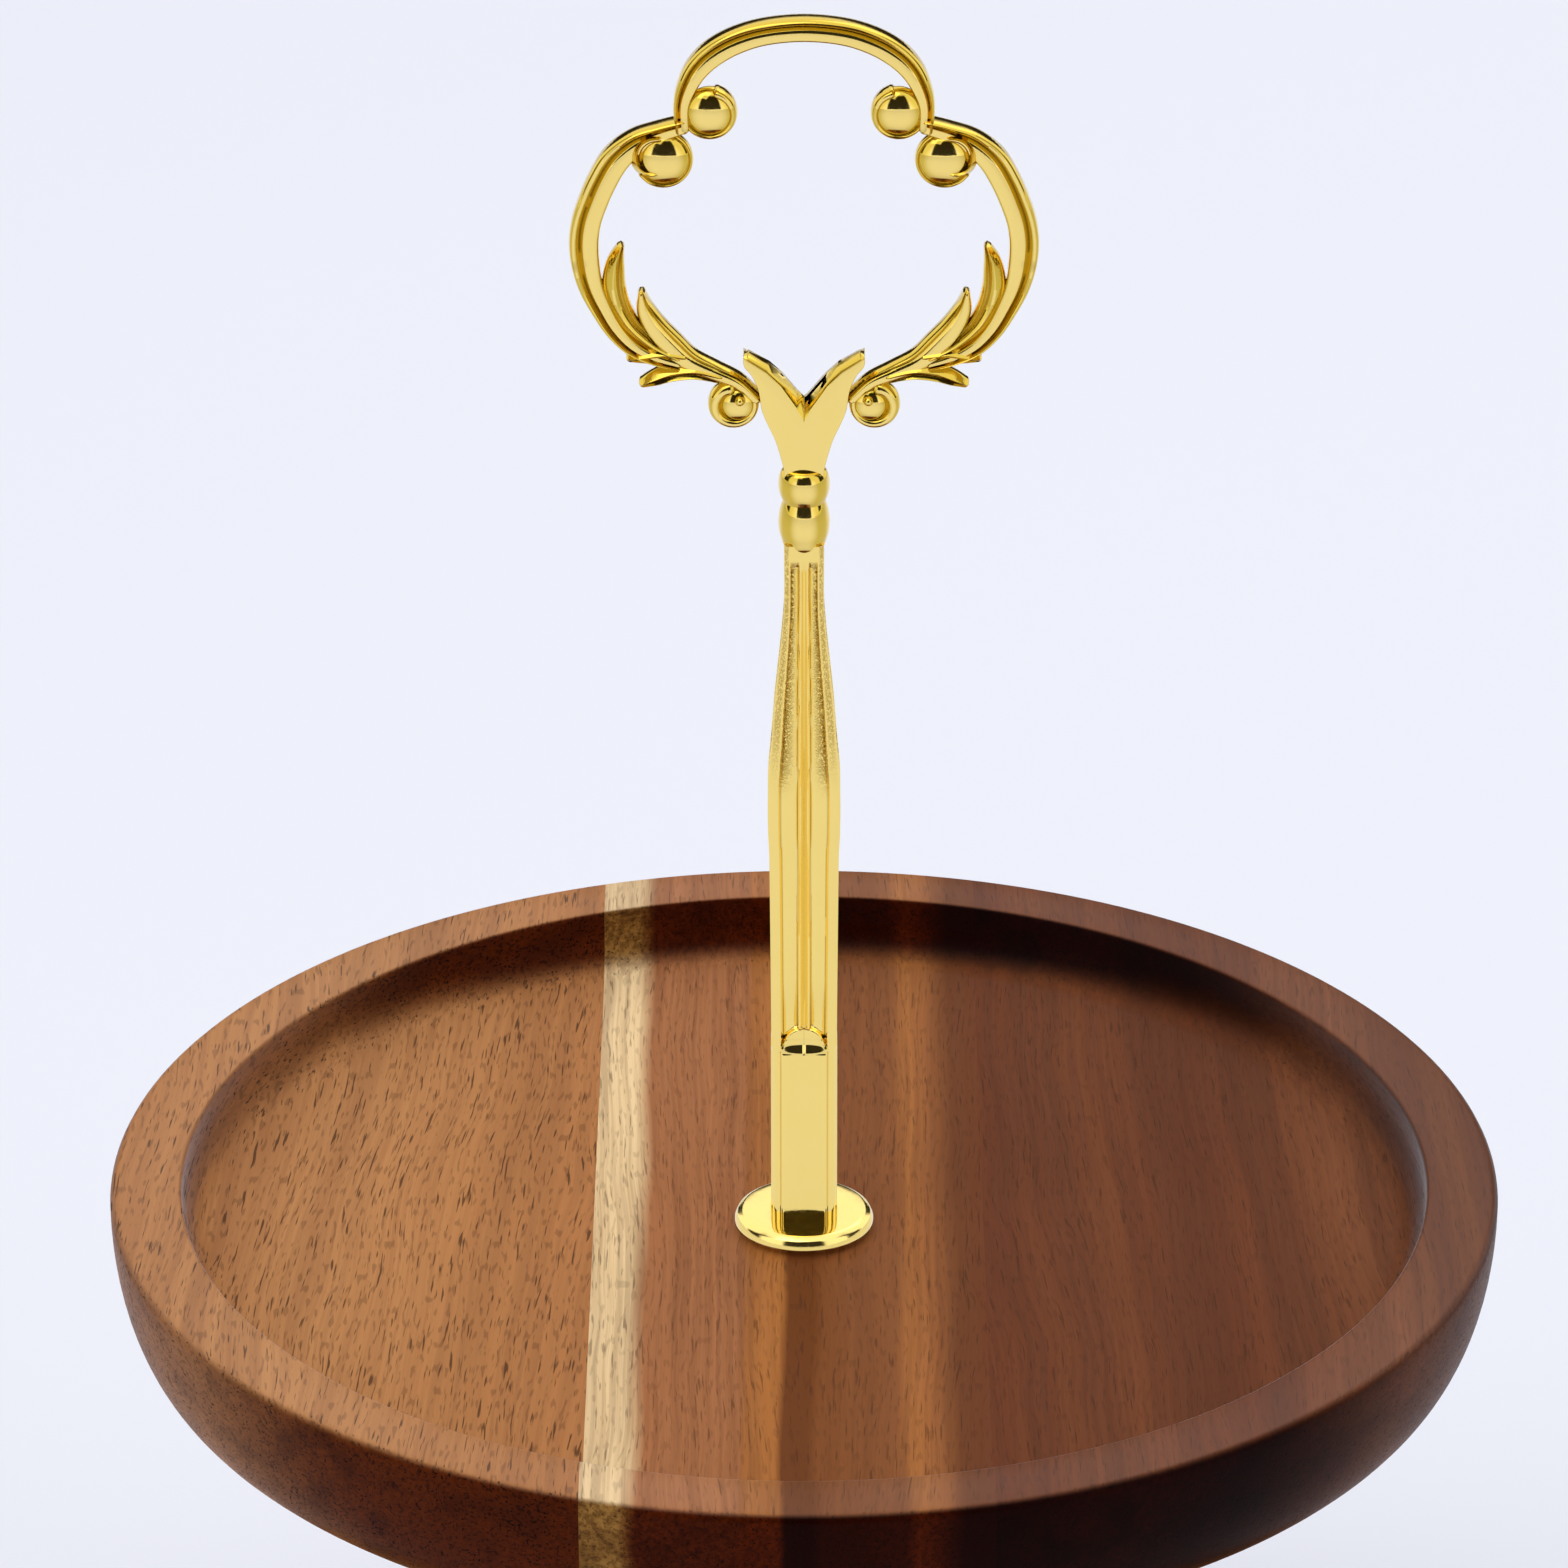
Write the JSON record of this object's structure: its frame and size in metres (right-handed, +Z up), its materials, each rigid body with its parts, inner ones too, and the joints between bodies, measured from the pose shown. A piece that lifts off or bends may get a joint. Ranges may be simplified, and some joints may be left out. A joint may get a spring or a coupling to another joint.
{
  "type": "tiered cake stand",
  "caption": "Tiered cake stand: round recessed wooden trays on a cast baluster post with a scrolled ring handle on top.",
  "frame": {"origin": "on the table, under the post's axis", "axes": "+Z up along the post, ring handle in the XZ plane with its face towards -Y"},
  "size_m": [0.24, 0.24, 0.3331],
  "materials": {
    "gold_plate": "bright gold plating on a smooth casting",
    "steel": "zinc-plated screw steel",
    "silicone": "clear, slightly milky silicone rubber",
    "acacia_tan": "oiled golden-brown acacia",
    "acacia_brown": "oiled brown acacia with a sapwood edge",
    "acacia_red": "oiled reddish-brown acacia"
  },
  "bodies": {
    "base": {"lower_tray_board_1": "acacia_tan", "lower_tray_board_2": "acacia_brown", "lower_tray_board_3": "acacia_red", "lower_tray_board_4": "acacia_tan", "foot_1": "silicone", "foot_2": "silicone", "foot_3": "silicone", "foot_4": "silicone", "lower_gasket_top": "silicone"},
    "post": {"lower_rod": "gold_plate", "lower_flange": "gold_plate", "base_bolt": "steel", "base_washer": "steel", "upper_washer_under": "gold_plate", "upper_gasket_under": "silicone"},
    "upper_tray": {"upper_tray_board_1": "acacia_tan", "upper_tray_board_2": "acacia_brown", "upper_tray_board_3": "acacia_red", "upper_gasket_top": "silicone", "upper_flange": "gold_plate"},
    "section_screw": {"upper_rod_stud": "steel"},
    "top_section": {"upper_rod": "gold_plate"},
    "handle_screw": {"handle_stud": "steel"},
    "grip": {"handle": "gold_plate"}
  },
  "joints": [
    {"name": "post_swivel", "type": "hinge", "parent": "base", "child": "post", "pos_m": [0, 0, 0.0165], "axis": [0, 0, 1], "continuous": true},
    {"name": "tray_swivel", "type": "hinge", "parent": "post", "child": "upper_tray", "pos_m": [0, 0, 0.1333], "axis": [0, 0, 1], "continuous": true},
    {"name": "section_rise", "type": "slide", "parent": "post", "child": "section_screw", "axis": [0, 0, 1], "range_m": [0, 0.0063]},
    {"name": "section_unscrew", "type": "hinge", "parent": "section_screw", "child": "top_section", "pos_m": [0, 0, 0.1498], "axis": [0, 0, 1], "range_deg": [0, 3240]},
    {"name": "handle_rise", "type": "slide", "parent": "top_section", "child": "handle_screw", "axis": [0, 0, 1], "range_m": [0, 0.0063]},
    {"name": "handle_unscrew", "type": "hinge", "parent": "handle_screw", "child": "grip", "pos_m": [0, 0, 0.2614], "axis": [0, 0, 1], "range_deg": [0, 3240]}
  ],
  "couplings": [
    {"joint": "section_unscrew", "follows": "section_rise", "rad_per_m": 8976},
    {"joint": "handle_unscrew", "follows": "handle_rise", "rad_per_m": 8976}
  ]
}
